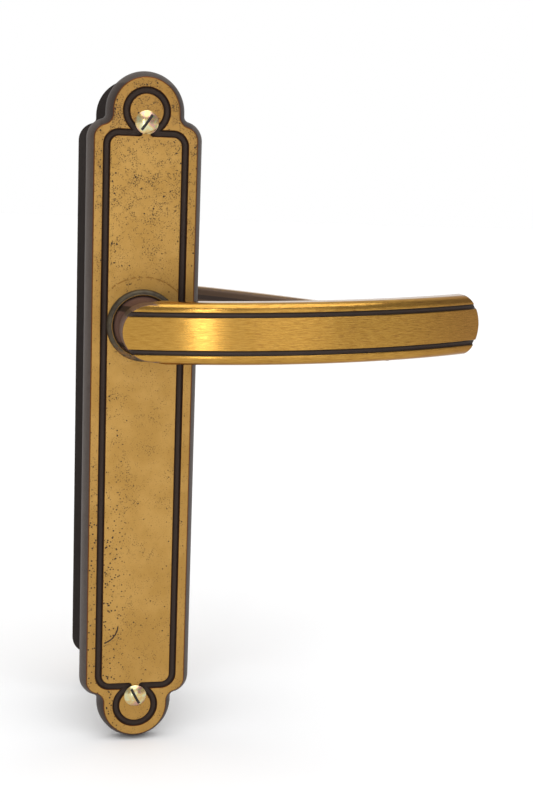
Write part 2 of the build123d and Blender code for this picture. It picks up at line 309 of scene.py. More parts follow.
# %% [markdown]
# ## The groove and the raised panel
# A groove outlines the panel and loops round each screw, and the panel and the screw discs stay at
# the plate's own height, joined by a narrow bridge. It could be cut with booleans, but those leave
# hard edges, and old brass is worn round along every edge. So the groove's outer wall and the
# panel's wall are each walked ring by ring, and the flats between them are filled.

# %% Outlines of the groove and the panel
GROOVE_HALF_WIDTH = FACE_HALF_WIDTH - 2.6
GROOVE_WIDTH = 2.4
GROOVE_DEPTH = 1.2
PANEL_HALF_WIDTH = GROOVE_HALF_WIDTH - GROOVE_WIDTH
PANEL_HALF_HEIGHT = 92.9
PANEL_CORNER = 2.8
DISC_RADIUS = 5.4
BRIDGE_HALF_WIDTH = 1.25
BRIDGE_FILLET = 1.1


def groove_outline(name, grow, height):
    """The groove's outer edge: a long rounded rectangle with a loop at each end."""
    half_width = GROOVE_HALF_WIDTH + grow
    top = PANEL_HALF_HEIGHT + GROOVE_WIDTH + grow
    corner = PANEL_CORNER + GROOVE_WIDTH + grow
    loop = DISC_RADIUS + GROOVE_WIDTH + grow
    below = ARCH_CENTRE - top
    mouth = math.sqrt(loop**2 - below**2)
    pen = Pen(name, (half_width, 0), origin=(0, -height, 0))
    pen.line_to(half_width, top - corner)
    pen.arc((half_width - corner, top - corner), 90, 12)
    pen.line_to(mouth, top)
    pen.arc((0, ARCH_CENTRE), 90 + math.degrees(math.atan2(below, mouth)), 36)
    return mirror_quarter(pen.close())


def panel_outline(name, grow, height):
    """The raised panel's edge, with its bridge and disc at each end."""
    half_width, top = PANEL_HALF_WIDTH + grow, PANEL_HALF_HEIGHT + grow
    corner, disc = PANEL_CORNER + grow, DISC_RADIUS + grow
    fillet_x = BRIDGE_HALF_WIDTH + BRIDGE_FILLET
    lower_z = PANEL_HALF_HEIGHT + BRIDGE_FILLET
    drop = math.sqrt((DISC_RADIUS + BRIDGE_FILLET) ** 2 - fillet_x**2)
    upper_z = ARCH_CENTRE - drop
    turn = math.degrees(math.atan2(drop, fillet_x))
    pen = Pen(name, (half_width, 0), origin=(0, -height, 0))
    pen.line_to(half_width, top - corner)
    pen.arc((half_width - corner, top - corner), 90, 12)
    pen.line_to(fillet_x, top)
    pen.arc((fillet_x, lower_z), -90, 8)
    pen.line_to(BRIDGE_HALF_WIDTH + grow, upper_z)
    pen.arc((fillet_x, upper_z), -turn, 8)
    pen.arc((0, ARCH_CENTRE), 90 + turn, 32)
    return mirror_quarter(pen.close())


# %% [markdown]
# The three cross-sections follow: the plate's sloped side with its rounded top edge, the groove's
# outer wall going down, and the panel's wall coming up again.

# %% The shell, groove and panel
SIDE_RINGS = [
    (0.35, 1.7),
    (0.75, 1.95),
    (0.75, 1.25),
    (0.22, 0.26),
    (0.16, 0.14),
    (0.14, 0.07),
    (0.12, 0.03),
    (0.15, 0),
]
WALL_DOWN = [
    (0.12, 0),
    (0.14, -0.03),
    (0.12, -0.10),
    (0.08, -0.17),
    (0.22, -0.60),
    (0.16, -0.20),
    (0.22, -0.10),
]
WALL_UP = [(inwards, -rise) for inwards, rise in reversed(WALL_DOWN)]
WALL_REACH = sum(inwards for inwards, rise in WALL_DOWN)
EDGE_WEAR = 0.3


def make_shell():
    """The plate's solid body up to its rim, open at the top."""
    shell = plate_outline("shell", SIDE_SLOPE, 0)
    fill_outline(shell)
    bpy.ops.mesh.extrude_region_move(TRANSFORM_OT_translate={"value": (0, -EDGE_LAND, 0)})
    walk_in(SIDE_RINGS)
    bpy.ops.mesh.delete(type="ONLY_FACE")
    leave()
    return shell


def make_groove():
    """The groove's outer wall, open above and below."""
    groove = groove_outline("groove", EDGE_WEAR, PLATE_TOP)
    fill_outline(groove)
    walk_in(WALL_DOWN)
    bpy.ops.mesh.delete(type="ONLY_FACE")
    leave()
    return groove


def make_panel():
    """The panel with its wall, closed on top and open at the groove's floor."""
    panel = panel_outline("panel", WALL_REACH - EDGE_WEAR, PLATE_TOP - GROOVE_DEPTH)
    fill_outline(panel)
    walk_in(WALL_UP)
    leave()
    return panel


def make_plate_blank():
    """Shell, groove and panel in one closed solid, in the plate's own middle."""
    blank = join([make_shell(), make_groove(), make_panel()], "plate_blank")
    for height in (PLATE_TOP, PLATE_TOP - GROOVE_DEPTH):
        edit(blank)
        select_open_edges(blank, height)
        bpy.ops.mesh.fill(use_beauty=True)
        leave()
    face_outwards(blank)
    describe(blank)
    return blank


plate_blank = make_plate_blank()

# %% [markdown]
# ## Hollow back and holes
# A cast plate is a shell: the back is hollow, with a boss left standing round each screw. The
# hollow is cut with a solid of the same outline drawn a wall's thickness inside, from which the
# bosses have been cut first. Then the screw holes and the hole for the collar go right through.

# %% Cut the back and the holes
WALL = 2.5
BOSS_RADIUS = 5.0
COLLAR_HOLE_RADIUS = 9.05
SCREW_HOLE_RADIUS = 2.15
SLEEVE_HOLE_RADIUS = 3.4
SPINDLE_IN_PLATE = -PLATE_MID_Z


def rod(name, radius, bottom, top, z=0.0, sides=64):
    """A solid rod along Y, between two heights off the door, used as a tool."""
    bpy.ops.object.select_all(action="DESELECT")
    bpy.ops.mesh.primitive_cylinder_add(
        vertices=sides,
        radius=radius,
        depth=top - bottom,
        location=(0, -(top + bottom) / 2, z),
        rotation=(math.radians(90), 0, 0),
    )
    tool = bpy.context.object
    tool.name = name
    return settle(tool)


def cut_back(plate):
    """Hollows the plate from behind, leaving a boss round each screw."""
    depth = PLATE_TOP - WALL
    hollow = plate_outline("hollow", -WALL, -1)
    fill_outline(hollow)
    bpy.ops.mesh.extrude_region_move(TRANSFORM_OT_translate={"value": (0, -1 - depth, 0)})
    leave()
    face_outwards(hollow)
    for side in (-1, 1):
        cut(hollow, rod("boss", BOSS_RADIUS, -2, PLATE_TOP, side * HALF_SPACING))
    return cut(plate, hollow)


def cut_holes(plate, screw_hole_radius):
    """Drills both screw holes and the collar's hole."""
    for side in (-1, 1):
        cut(plate, rod("drill", screw_hole_radius, -1, PLATE_TOP + 1, side * HALF_SPACING))
    return cut(plate, rod("drill", COLLAR_HOLE_RADIUS, -1, PLATE_TOP + 1, SPINDLE_IN_PLATE, 96))


def to_rear(piece):
    """Mirrors a front piece through the middle of the door."""
    piece.scale = (1, -1, 1)
    piece.location = (0, DOOR, 0)
    settle(piece)
    face_outwards(piece)
    return piece


def to_frame(piece):
    """Brings a finished piece from millimetres to metres."""
    piece.scale = (MM, MM, MM)
    return settle(piece)


def finish_plate(name, screw_hole_radius, rear=False):
    """Makes one plate from a copy of the blank and stands it in for its CAD node."""
    plate = duplicate(plate_blank, name)
    cut_holes(plate, screw_hole_radius)
    move(plate, z=PLATE_MID_Z)
    if rear:
        to_rear(plate)
    face_outwards(plate)
    smooth(plate)
    describe(plate)
    to_frame(plate)
    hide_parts(name.removesuffix("_brass"))
    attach(plate, "plates")
    return plate


cut_back(plate_blank)
front_plate = finish_plate("front_plate_brass", SCREW_HOLE_RADIUS)
rear_plate = finish_plate("rear_plate_brass", SLEEVE_HOLE_RADIUS, rear=True)
bpy.data.objects.remove(plate_blank)

# %% [markdown]
# ## Turned pieces
# Collars, screw heads and the lever's neck are all round about an axis that stands out from the
# door. On the real set they were turned on a lathe or cast round. The spin operator does the same:
# a profile is drawn as radius and height, and spun once round.

# %% Spin a profile about the spindle's direction
def turn_profile(drawing, steps):
    """Spins the drawn profile once round the Y axis and merges the seam."""
    edit(drawing, "ALL")
    bpy.ops.mesh.spin(steps=steps, angle=math.tau, center=(0, 0, 0), axis=(0, 1, 0))
    leave()
    face_outwards(drawing)
    return drawing


def profile_pen(name, start):
    """A pen whose plane gives radius across and height off the door upwards."""
    return Pen(name, start, across=(1, 0, 0), up=(0, -1, 0))


# %% [markdown]
# ## Collar
# The collar is a flanged bush. Its ring rises in a quarter round to a thin bead, which the lever's
# neck has rubbed bright, and its sleeve passes through the plate and guides the lever.

# %% Make the collars
COLLAR_RADIUS = 12.0
COLLAR_INNER = 10.1
COLLAR_FLOOR = PLATE_TOP + 0.6
COLLAR_TOP = PLATE_TOP + 2.2
COLLAR_BORE = 7.55
SLEEVE_OUTER = 9.0
SLEEVE_END = 3.6
BEAD_RADIUS = 0.3
QUARTER_ROUND = 1.25


def make_collar():
    """A collar on the front side."""
    shoulder = COLLAR_TOP - BEAD_RADIUS
    round_centre = (COLLAR_RADIUS - QUARTER_ROUND, shoulder - QUARTER_ROUND)
    pen = profile_pen("collar_blank", (COLLAR_BORE, SLEEVE_END))
    pen.line_to(SLEEVE_OUTER, SLEEVE_END)
    pen.line_to(SLEEVE_OUTER, PLATE_TOP)
    pen.line_to(COLLAR_RADIUS, PLATE_TOP)
    pen.line_to(COLLAR_RADIUS, round_centre[1])
    pen.arc(round_centre, 85, 10)
    pen.line_to(COLLAR_INNER + 2 * BEAD_RADIUS, shoulder)
    pen.arc((COLLAR_INNER + BEAD_RADIUS, shoulder), 180, 8)
    pen.line_to(COLLAR_INNER, COLLAR_FLOOR)
    pen.line_to(COLLAR_BORE, COLLAR_FLOOR)
    pen.line_to(COLLAR_BORE, SLEEVE_END)
    return turn_profile(pen.close(), 128)


def stand_in(piece, node, body, sharp=32):
    """Shades a finished piece, brings it to metres, and lets it stand for its CAD node."""
    smooth(piece, sharp)
    apply_modifier(piece, "WEIGHTED_NORMAL", keep_sharp=True)
    describe(piece)
    to_frame(piece)
    piece.name = node + "_finished"
    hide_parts(node)
    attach(piece, body)
    return piece


collar_blank = make_collar()
collars = []
for side in ("front", "rear"):
    collar = duplicate(collar_blank, f"{side}_collar_copy")
    if side == "rear":
        to_rear(collar)
    collars.append(stand_in(collar, f"{side}_collar", "plates"))
bpy.data.objects.remove(collar_blank)

# %% [markdown]
# ## Screws and sleeve nuts
# A screw from the front meets a sleeve nut from the rear inside the door. Both have the same low
# domed head with a slot. The shank's thread is drawn as rings rather than as a helix, since it is
# only seen edge on in the gap between the plates, and rings keep the mesh small and closed.

# %% Make the heads, shanks and barrels
HEAD_RADIUS = 3.8
HEAD_EDGE = 0.5
HEAD_TOP = PLATE_TOP + 1.9
DOME_RISE = HEAD_TOP - PLATE_TOP - HEAD_EDGE
DOME_RADIUS = (HEAD_RADIUS**2 + DOME_RISE**2) / (2 * DOME_RISE)
SLOT_WIDTH = 0.9
SLOT_DEPTH = 1.0
SHANK_RADIUS = 2.0
SHANK_END = -22.0
THREAD_START = -2.0
THREAD_PITCH = 0.7
THREAD_DEPTH = 0.35
BARREL_RADIUS = 2.9
BARREL_SHOULDER = 3.3
BARREL_BORE = 2.05
BARREL_MOUTH = -28.0
BORE_END = -15.5
SLOT_ANGLES = {"upper": 55.0, "lower": -62.0}


def draw_head(pen):
    """Continues a profile from a shank's top over the head to the axis."""
    pen.line_to(HEAD_RADIUS, PLATE_TOP)
    pen.line_to(HEAD_RADIUS, PLATE_TOP + HEAD_EDGE)
    edge_angle = math.degrees(math.atan2(DOME_RADIUS - DOME_RISE, HEAD_RADIUS))
    pen.arc((0, HEAD_TOP - DOME_RADIUS), 90 - edge_angle, 14)


def cut_slot(head, angle):
    """Saws the slot across a head, turned counter-clockwise as seen from in front of it."""
    bpy.ops.object.select_all(action="DESELECT")
    bpy.ops.mesh.primitive_cube_add(
        size=1,
        location=(0, -(HEAD_TOP + SLOT_DEPTH / 2 - SLOT_DEPTH), 0),
        rotation=(0, -math.radians(angle), 0),
        scale=(4 * HEAD_RADIUS, 1, SLOT_WIDTH),
    )
    return cut(head, settle(bpy.context.object))


def make_screw(angle):
    """A front screw centred on the spindle axis."""
    pen = profile_pen("screw_blank", (0, SHANK_END))
    height = SHANK_END + THREAD_DEPTH
    pen.line_to(SHANK_RADIUS - 2 * THREAD_DEPTH, SHANK_END)
    while height < THREAD_START:
        pen.line_to(SHANK_RADIUS, height)
        pen.line_to(SHANK_RADIUS - THREAD_DEPTH, height + THREAD_PITCH / 2)
        height += THREAD_PITCH
    pen.line_to(SHANK_RADIUS, height)
    pen.line_to(SHANK_RADIUS, PLATE_TOP)
    draw_head(pen)
    return cut_slot(turn_profile(pen.close(), 56), angle)


def make_sleeve_nut(angle):
    """A sleeve nut on the front side, to be mirrored to the rear."""
    pen = profile_pen("nut_blank", (0, BORE_END))
    pen.line_to(BARREL_BORE, BORE_END)
    pen.line_to(BARREL_BORE, BARREL_MOUTH)
    pen.line_to(BARREL_RADIUS, BARREL_MOUTH)
    pen.line_to(BARREL_RADIUS, 0)
    pen.line_to(BARREL_SHOULDER, 0)
    pen.line_to(BARREL_SHOULDER, PLATE_TOP)
    draw_head(pen)
    return cut_slot(turn_profile(pen.close(), 56), angle)


fasteners = []
for level, screw_z in (("upper", UPPER_SCREW_Z), ("lower", LOWER_SCREW_Z)):
    screw = move(make_screw(SLOT_ANGLES[level]), z=screw_z)
    fasteners.append(stand_in(screw, f"{level}_screw", "plates"))
    nut = to_rear(move(make_sleeve_nut(SLOT_ANGLES[level]), z=screw_z))
    fasteners.append(stand_in(nut, f"{level}_sleeve_nut", "plates"))

# %% [markdown]
# ## Lever
# The lever is one casting: a journal that turns in the collar, a waisted neck, and a flat grip bowed
# about an upright axis, with two grooves along its front. The grip could be bent with a curve
# modifier. It is spun instead: its cross-section is drawn once and spun about the bow's axis, which
# keeps the bow truly round. A solid of the lever's front view then trims the half-round end and the
# bulged tip, and the neck is turned and joined on.

# %% The grip's cross-section and bow
BOW_RADIUS = 128.0
BOW_X = 48.0
BOW_APEX = 33.2
BOW_Y = BOW_RADIUS - BOW_APEX - PLATE_TOP
GRIP_HALF = 9.9
GRIP_BACK = BOW_RADIUS - 8.5
FRONT_ROUND = 2.4
BACK_ROUND = 1.8
GRIP_GROOVE_Z = 6.0
GRIP_GROOVE_HALF = 0.8
GRIP_GROOVE_DEPTH = 1.0
GROOVE_EDGE = 0.22
BOW_START, BOW_END = -30.0, 33.5


def draw_groove(pen):
    """One groove of the grip's front, from its upper edge to its lower one."""
    edge = BOW_RADIUS - GROOVE_EDGE
    floor = BOW_RADIUS - GRIP_GROOVE_DEPTH
    upper = GRIP_GROOVE_Z + GRIP_GROOVE_HALF
    lower = GRIP_GROOVE_Z - GRIP_GROOVE_HALF
    pen.line_to(BOW_RADIUS, upper + GROOVE_EDGE)
    pen.arc((edge, upper + GROOVE_EDGE), -90, 4)
    pen.line_to(floor + 0.2, upper - 0.15)
    pen.line_to(floor, upper - 0.45)
    pen.line_to(floor, lower + 0.45)
    pen.line_to(floor + 0.2, lower + 0.15)
    pen.line_to(edge, lower)
    pen.arc((edge, lower - GROOVE_EDGE), -90, 4)


def make_bow():
    """The grip's section spun about the bow's axis, longer than the grip at both ends."""
    lean = math.radians(BOW_START)
    pen = Pen(
        "grip",
        (GRIP_BACK, 0),
        across=(math.sin(lean), -math.cos(lean), 0),
        origin=(BOW_X, BOW_Y, 0),
    )
    pen.line_to(GRIP_BACK, GRIP_HALF - BACK_ROUND)
    pen.arc((GRIP_BACK + BACK_ROUND, GRIP_HALF - BACK_ROUND), -90, 6)
    pen.line_to(BOW_RADIUS - FRONT_ROUND, GRIP_HALF)
    pen.arc((BOW_RADIUS - FRONT_ROUND, GRIP_HALF - FRONT_ROUND), -90, 10)
    draw_groove(pen)
    pen.line_to(BOW_RADIUS, 0)
    grip = apply_modifier(pen.close(), "MIRROR", use_axis=(False, False, True), merge_threshold=5 * MERGE)
    edit(grip, "ALL")
    sweep = math.radians(BOW_END - BOW_START)
    bpy.ops.mesh.spin(steps=72, angle=sweep, center=(BOW_X, BOW_Y, 0), axis=(0, 0, -1))
    bpy.ops.mesh.select_all(action="DESELECT")
    bpy.ops.mesh.select_non_manifold()
    bpy.ops.mesh.fill_holes(sides=0)
    leave()
    face_outwards(grip)
    return grip


# %% The grip's front view
TIP_X = 111.2
TIP_BULGE = 7.1
TIP_CORNER = 5.0
END_X = 0.4
END_RADIUS = 9.1
FULL_HEIGHT_X = 5.0
VIEW_HALF = GRIP_HALF + 0.8
VIEW_DEPTH = 60.0


def make_front_view():
    """A solid that looks like the grip from the front and is a little taller than it."""
    bulge_radius = (VIEW_HALF**2 + TIP_BULGE**2) / (2 * TIP_BULGE)
    bulge_x = TIP_X - bulge_radius
    corner_z = VIEW_HALF - TIP_CORNER
    corner_angle = math.degrees(math.asin(corner_z / (bulge_radius - TIP_CORNER)))
    corner_x = bulge_x + (bulge_radius - TIP_CORNER) * math.cos(math.radians(corner_angle))
    taper = (FULL_HEIGHT_X - END_X) / (GRIP_HALF - END_RADIUS)
    pen = Pen("front_view", (TIP_X, 0))
    pen.arc((bulge_x, 0), corner_angle, 10)
    pen.arc((corner_x, corner_z), 90 - corner_angle, 14)
    pen.line_to(END_X + (VIEW_HALF - END_RADIUS) * taper, VIEW_HALF)
    pen.line_to(END_X, END_RADIUS)
    pen.arc((END_X, 0), 90, 32)
    view = apply_modifier(pen.close(), "MIRROR", use_axis=(False, False, True), merge_threshold=5 * MERGE)
    fill_outline(view)
    bpy.ops.mesh.extrude_region_move(TRANSFORM_OT_translate={"value": (0, -VIEW_DEPTH, 0)})
    leave()
    face_outwards(view)
    return view


# %% The neck and the whole lever
JOURNAL_RADIUS = 7.5
JOURNAL_END = 0.5
CLIP_GROOVE = (1.425, 2.375)
CLIP_GROOVE_RADIUS = 7.0
NECK_BASE = 7.25
NECK_BASE_RADIUS = 9.8
NECK_LAND = 1.0
NECK_WAIST = (7.9, 13.5)
NECK_FLARE = (8.4, 18.5)
NECK_TOP = 26.2
SOCKET_SIZE = 7.6
SOCKET_END = 19.0


def centre_through(a, b, c):
    """The centre of the circle through three points."""
    ab, ac = Vector(b) - Vector(a), Vector(c) - Vector(a)
    twice_area = 2 * (ab.x * ac.y - ab.y * ac.x)
    x = (ac.y * ab.length_squared - ab.y * ac.length_squared) / twice_area
    y = (ab.x * ac.length_squared - ac.x * ab.length_squared) / twice_area
    return Vector(a) + Vector((x, y))


def make_neck():
    """Journal and neck in one turned solid."""
    pen = profile_pen("neck", (0, JOURNAL_END))
    pen.line_to(JOURNAL_RADIUS, JOURNAL_END)
    pen.line_to(JOURNAL_RADIUS, CLIP_GROOVE[0])
    pen.line_to(CLIP_GROOVE_RADIUS, CLIP_GROOVE[0])
    pen.line_to(CLIP_GROOVE_RADIUS, CLIP_GROOVE[1])
    pen.line_to(JOURNAL_RADIUS, CLIP_GROOVE[1])
    pen.line_to(JOURNAL_RADIUS, NECK_BASE)
    pen.line_to(NECK_BASE_RADIUS, NECK_BASE)
    base = (NECK_BASE_RADIUS, NECK_BASE + NECK_LAND)
    pen.line_to(*base)
    waist_centre = centre_through(base, NECK_WAIST, NECK_FLARE)
    first, last = Vector(base) - waist_centre, Vector(NECK_FLARE) - waist_centre
    pen.arc(waist_centre, math.degrees(last.angle_signed(first)), 16)
    pen.line_to(NECK_FLARE[0], NECK_TOP)
    pen.line_to(0, NECK_TOP)
    return turn_profile(pen.close(), 96)


def cut_socket(lever):
    """Cuts the square socket for the spindle."""
    bpy.ops.object.select_all(action="DESELECT")
    bpy.ops.mesh.primitive_cube_add(
        size=1,
        location=(0, -SOCKET_END / 2 + JOURNAL_END, 0),
        scale=(SOCKET_SIZE, SOCKET_END + 2 * JOURNAL_END, SOCKET_SIZE),
    )
    return cut(lever, settle(bpy.context.object))


def make_lever():
    """A level lever on the front side."""
    grip = make_bow()
    describe(grip)
    cut(grip, make_front_view(), "INTERSECT")
    describe(grip)
    cut(grip, make_neck(), "UNION")
    cut_socket(grip)
    face_outwards(grip)
    grip.name = "lever_blank"
    describe(grip)
    return grip


lever_blank = make_lever()


# %% [markdown]
# The finishes follow the bow: brushing runs along it and the patina deepens towards its back. Each
# lever point therefore keeps its x, its depth below the front, and its height, as a
# vector attribute, written while the lever is still level. It stays true when the lever is tilted.

# %% Keep places along the bow and set the levers
LEVER_TILTS = {"front": -2.0, "rear": 5.5}


def note_places(lever):
    """Stores each point's (x on the level lever, depth below its front, height) in millimetres."""
    places = lever.data.attributes.new("bow_place", "FLOAT_VECTOR", "POINT")
    for vertex, place in zip(lever.data.vertices, places.data):
        out = Vector((vertex.co.x - BOW_X, vertex.co.y - BOW_Y))
        place.vector = (vertex.co.x, BOW_RADIUS - out.length, vertex.co.z)


note_places(lever_blank)
levers = []
for side, tilt in LEVER_TILTS.items():
    lever = duplicate(lever_blank, f"{side}_lever_copy")
    if side == "rear":
        to_rear(lever)
    lever.rotation_euler.y = math.radians(tilt)
    settle(lever)
    levers.append(stand_in(lever, f"{side}_lever", f"{side}_handle"))
bpy.data.objects.remove(lever_blank)

# %% [markdown]
# ## Finishes: shader maths as Python
# Every finish is built from nodes. Wiring them one by one hides the thought behind them, so one
# small class wraps a node's output. Adding or multiplying two of them adds the maths node, and one
# method adds any other node from its type, its settings and its sockets.

# %% The signal class
class Signal:
    """One output of a material's nodes, which can be reckoned with like a number."""

    def __init__(self, tree, socket):
        self.tree, self.socket = tree, socket

    def node(self, kind, settings=None, sockets=None, output=0):
        """Adds a node to the same material and returns one of its outputs."""
        made = self.tree.nodes.new(kind)
        for name, value in (settings or {}).items():
            setattr(made, name, value)
        for name, value in (sockets or {}).items():
            if isinstance(value, Signal):
                self.tree.links.new(value.socket, made.inputs[name])
            else:
                made.inputs[name].default_value = value
        return Signal(self.tree, made.outputs[output])

    def maths(self, operation, first, second=0.0):
        return self.node("ShaderNodeMath", {"operation": operation}, {0: first, 1: second})

    def __add__(self, other):
        return self.maths("ADD", self, other)

    def __sub__(self, other):
        return self.maths("SUBTRACT", self, other)

    def __rsub__(self, other):
        return self.maths("SUBTRACT", other, self)

    def __mul__(self, other):
        return self.maths("MULTIPLY", self, other)

    def __truediv__(self, other):
        return self.maths("DIVIDE", self, other)

    def __abs__(self):
        return self.maths("ABSOLUTE", self)

    def root(self):
        return self.maths("SQRT", self)

    def either(self, other):
        """The larger of two masks."""
        return self.maths("MAXIMUM", self, other)

    def step(self, low, high):
        """A smooth mask that rises from 0 at low to 1 at high, or falls if low is above high."""
        if low > high:
            return 1 - self.step(high, low)
        settings = {"interpolation_type": "SMOOTHSTEP"}
        return self.node("ShaderNodeMapRange", settings, {"Value": self, "From Min": low, "From Max": high})

    __radd__ = __add__
    __rmul__ = __mul__


# %% Helpers on signals
def mix(factor, first, second):
    """Mixes two colours by a factor."""
    sockets = {"Factor": factor, "A": first, "B": second}
    made = factor.tree.nodes.new("ShaderNodeMix")
    made.data_type = "RGBA"
    for name, value in sockets.items():
        slot = next(s for s in made.inputs if s.name == name and s.enabled)
        if isinstance(value, Signal):
            factor.tree.links.new(value.socket, slot)
        else:
            slot.default_value = value
    return Signal(factor.tree, next(s for s in made.outputs if s.enabled))


def colour(red, green, blue):
    return (red, green, blue, 1.0)


def scaled(place, x, y, z):
    """A place with each direction stretched, to draw grain longer one way than another."""
    return place.node("ShaderNodeVectorMath", {"operation": "MULTIPLY"}, {0: place, 1: (x, y, z)})


def noise(place, scale, detail=2.0, roughness=0.5, distortion=0.0):
    """Soft noise from 0 to 1 with a feature every 1 / scale millimetres."""
    sockets = {
        "Vector": place,
        "Scale": scale,
        "Detail": detail,
        "Roughness": roughness,
        "Distortion": distortion,
    }
    return place.node("ShaderNodeTexNoise", {}, sockets)


def specks(place, scale, size, seed):
    """Round specks: a mask of cells whose centre is near, kept small."""
    moved = place.node("ShaderNodeVectorMath", {"operation": "ADD"}, {0: place, 1: (seed, seed, seed)})
    near = moved.node("ShaderNodeTexVoronoi", {}, {"Vector": moved, "Scale": scale}, output="Distance")
    return (near / size).step(1.0, 0.55)


def slanting(place, along, across):
    """A place turned by 45 degrees in the front view, to draw marks that run diagonally."""
    x, y, z = axes_of(place)
    return place.node("ShaderNodeCombineXYZ", {}, {"X": (x + z) * along, "Y": y, "Z": (x - z) * across})


def axes_of(place):
    """The three numbers of a place."""
    split = place.node("ShaderNodeSeparateXYZ", {}, {0: place})
    return [Signal(place.tree, socket) for socket in split.socket.node.outputs]


def new_finish(name):
    """An empty metal material: its main shader and its Object coordinates in millimetres."""
    material = bpy.data.materials.new(name)
    material.use_nodes = True
    tree = material.node_tree
    shader = tree.nodes["Principled BSDF"]
    coordinates = tree.nodes.new("ShaderNodeTexCoord")
    place = scaled(Signal(tree, coordinates.outputs["Object"]), 1 / MM, 1 / MM, 1 / MM)
    return material, shader, place


def feed(shader, socket, value):
    """Puts a number, a colour or a signal into one of the shader's sockets."""
    if isinstance(value, Signal):
        value.tree.links.new(value.socket, shader.inputs[socket])
    else:
        shader.inputs[socket].default_value = value


def bump(shader, height, depth_mm, strength=1.0):
    """Lets a height in 0 to 1 dent the surface by a depth."""
    sockets = {"Height": height, "Distance": depth_mm * MM, "Strength": strength}
    feed(shader, "Normal", height.node("ShaderNodeBump", {}, sockets))


def wear(pieces, material):
    """Gives each piece its material."""
    for piece in pieces:
        piece.data.materials.clear()
        piece.data.materials.append(material)


# %% [markdown]
# ## Plate finish
# The plate was dipped in a dark patina, then its face was rubbed back to brass. Everything below the
# face stays dark, so height off the door is the mask: brass on top, red-brown at the very edge, and
# grey-brown on the sides and in the grooves. Casting pits hold patina too. They crowd near the top,
# and larger ones at the lower left, beside one deep curved scratch.

# %% Make the plate finish
BRASS = colour(0.43, 0.245, 0.064)
BRASS_PALE = colour(0.50, 0.295, 0.085)
BRASS_BROWN = colour(0.25, 0.115, 0.028)
EDGE_RED = colour(0.14, 0.045, 0.012)
GROOVE_DARK = colour(0.034, 0.019, 0.012)
SIDE_GREY = colour(0.066, 0.047, 0.036)
PIT_DARK = colour(0.028, 0.013, 0.007)
REAR_PLATE_PAINTED_SHADE = colour(0.012, 0.010, 0.010)
RUB_RADIUS = 16.0
SCRATCH_X, SCRATCH_Z = -12.8, -103.6
SCRATCH_RADIUS = 6.4


def off_the_door(y):
    """Height off the nearer face of the door, for the front and the rear side alike."""
    return abs(y - DOOR / 2) - DOOR / 2


def curved_scratch(x, y, z, ragged):
    """The one deep scratch, an arc low on the left of the front plate."""
    across, up = x - SCRATCH_X, z - SCRATCH_Z
    from_arc = abs((across * across + up * up).root() - SCRATCH_RADIUS + ragged * 4)
    return from_arc.step(0.34, 0.14) * across.step(1.5, 2.0) * up.step(0.2, -0.6) * y.step(1.0, 0.0)


def plate_brass(place, x, z, mottle, fine):
    """The rubbed face: clouded brass, browner at the rim and the top, scratched over the collar."""
    cloud = noise(place, 0.09, 3.0, 0.55)
    brass = mix(cloud.step(0.35, 0.7), BRASS, BRASS_PALE)
    shaded_top = (z - PLATE_MID_Z).step(PANEL_HALF_HEIGHT - 8, PANEL_HALF_HEIGHT + 8)
    scratches = noise(slanting(place, 0.16, 2.6), 1.0, 2.0).step(0.70, 0.76)
    from_rub = abs((x * x + z * z).root() - RUB_RADIUS)
    rub = from_rub.step(0.35, 0.1) * z.step(8.0, 12.0) * mottle.step(0.4, 0.55)
    browned = [
        mottle.step(0.58, 0.8) * 0.25,
        fine.step(0.5, 0.72) * 0.22,
        abs(x).step(13.7, 14.3) * 0.15,
        shaded_top * 0.35,
        scratches * 0.35,
        rub * 0.8,
    ]
    for amount in browned:
        brass = mix(amount, brass, BRASS_BROWN)
    return brass


def plate_pits(place, x, y, z, ragged):
    """Casting pits in three sizes, a worn patch at lower left, and the one deep scratch."""
    crowd = z.step(0.0, 60.0) * 0.14 + noise(place, 0.14, 2.0).step(0.4, 0.75) * 0.14
    small = specks(place, 1.7, 0.18 + crowd, 3.0)
    tiny = specks(place, 3.2, 0.18 + crowd * 1.2, 11.0)
    rare = specks(place, 0.45, 0.13 + crowd * 0.3, 23.0)
    pits = small.either(tiny * 0.75).either(rare) * noise(place, 0.5, 2.0).step(0.42, 0.5)
    worn_corner = x.step(3.0, -9.0) * z.step(-25.0, -70.0)
    pits = pits.either(specks(place, 0.8, 0.14 + worn_corner * 0.16, 31.0) * worn_corner)
    return pits.either(curved_scratch(x, y, z, ragged))


def plate_patina(place, x, y, z):
    """The colour below the face: grey-brown sides, darker grooves, and the rear plate's patina painted
    nearly black as painted shade.
    """
    beyond_arch = abs(z - PLATE_MID_Z).step(ARCH_CENTRE + 8.2, ARCH_CENTRE + 9.0)
    on_side = abs(x).step(14.6, 15.4).either(beyond_arch)
    dark = mix(on_side, GROOVE_DARK, SIDE_GREY)
    dark = mix(noise(place, 0.35, 4.0, 0.6).step(0.4, 0.75) * 0.4, dark, GROOVE_DARK)
    # The rear plate's patina is darkened towards black: painted shade for the plate on the far side of the
    # door.
    return mix(y.step(DOOR / 2 - 1, DOOR / 2 + 1) * 0.7, dark, REAR_PLATE_PAINTED_SHADE)


